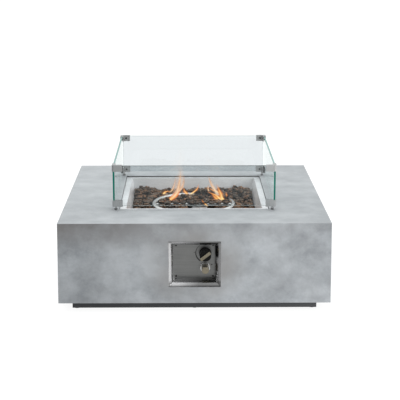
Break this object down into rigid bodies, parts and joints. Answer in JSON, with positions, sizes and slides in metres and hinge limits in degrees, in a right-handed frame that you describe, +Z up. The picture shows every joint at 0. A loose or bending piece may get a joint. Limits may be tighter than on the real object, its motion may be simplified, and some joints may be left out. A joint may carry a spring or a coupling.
{
  "type": "gas fire table",
  "caption": "Low square gas fire table: moulded block on a plinth, drop-in pan with ring burner and lava rock, lift-off glass guard, control box with knob and push igniter.",
  "frame": {"origin": "on the floor under the table's centre", "axes": "+Z up; -Y towards the control box; +X to the right as seen from the control side"},
  "size_m": [0.8946, 0.8946, 0.4575],
  "materials": {
    "concrete": "moulded, matt",
    "dark_steel": "powder coat, satin",
    "rubber": "matt",
    "zinc_steel": "zinc plated",
    "stainless": "satin",
    "galvanised": "mill finish",
    "lava": "porous",
    "glass": "clear, ground edges",
    "satin_nickel": "satin nickel",
    "black_steel": "blackened",
    "polished_stainless": "polished",
    "satin_stainless": "satin",
    "black_plastic": "semi-gloss",
    "champagne": "pale champagne, satin",
    "chrome": "bright",
    "brass": "machined",
    "cast_alloy": "cast",
    "ceramic": "glazed",
    "spring_steel": "bright",
    "hose_steel": "corrugated",
    "lead_cover": "silicone",
    "copper": "drawn copper",
    "battery": "plain sleeve"
  },
  "bodies": {
    "table": {"air_mixer": "cast_alloy", "base_panel": "zinc_steel", "base_screws": "zinc_steel", "bed_stones": "lava", "bracket_screws": "zinc_steel", "burner_boss": "stainless", "burner_feet": "zinc_steel", "burner_hose": "hose_steel", "burner_nipple": "stainless", "burner_ring": "stainless", "burner_tray": "stainless", "control_bezel": "polished_stainless", "control_brackets": "zinc_steel", "control_plate": "satin_stainless", "electrode_insulator": "ceramic", "electrode_wire": "stainless", "foot_pads": "rubber", "gas_jet": "brass", "heat_shield": "galvanised", "hose_clips": "zinc_steel", "hose_nuts": "brass", "igniter_battery": "battery", "igniter_bezel": "chrome", "igniter_housing": "black_plastic", "igniter_nut": "chrome", "igniter_shield": "stainless", "igniter_spring": "spring_steel", "ignition_lead": "lead_cover", "inlet_bracket": "zinc_steel", "inlet_fitting": "brass", "inlet_locknut": "brass", "lava_rocks": "lava", "nipple_nuts": "stainless", "plate_screws": "stainless", "plinth_frame": "dark_steel", "shell_bolts": "zinc_steel", "shell_brackets": "zinc_steel", "shield_nuts": "zinc_steel", "shield_studs": "zinc_steel", "supply_hose": "hose_steel", "table_shell": "concrete", "thermocouple_lead": "copper", "thermocouple_probe": "stainless", "valve_body": "brass", "valve_spring": "spring_steel"},
    "guard": {"glass_front": "glass", "glass_back": "glass", "glass_left": "glass", "glass_right": "glass", "upper_clips": "satin_nickel", "lower_clips": "satin_nickel", "clip_screws": "black_steel", "guard_pegs": "satin_nickel", "guard_tips": "rubber"},
    "valve_press": {"spring_washer": "stainless"},
    "knob": {"knob_body": "black_plastic", "knob_grip": "champagne", "knob_set_screw": "black_steel", "valve_stem": "stainless"},
    "igniter_button": {"igniter_cap": "champagne"}
  },
  "joints": [
    {"name": "guard_lift", "type": "slide", "parent": "table", "child": "guard", "axis": [0, 0, 1], "range_m": [0, 0.25]},
    {"name": "knob_press", "type": "slide", "parent": "table", "child": "valve_press", "axis": [0, 1, 0], "range_m": [0, 0.004], "stiffness_N_per_m": 800, "springref_m": -0.004, "deforming": ["valve_spring"]},
    {"name": "knob_turn", "type": "hinge", "parent": "valve_press", "child": "knob", "pos_m": [0.035, -0.44204, 0.19], "axis": [0, -1, 0], "range_deg": [-128, 22]},
    {"name": "igniter_press", "type": "slide", "parent": "table", "child": "igniter_button", "axis": [0, 1, 0], "range_m": [0, 0.004], "stiffness_N_per_m": 500, "springref_m": -0.004, "deforming": ["igniter_spring"]}
  ]
}
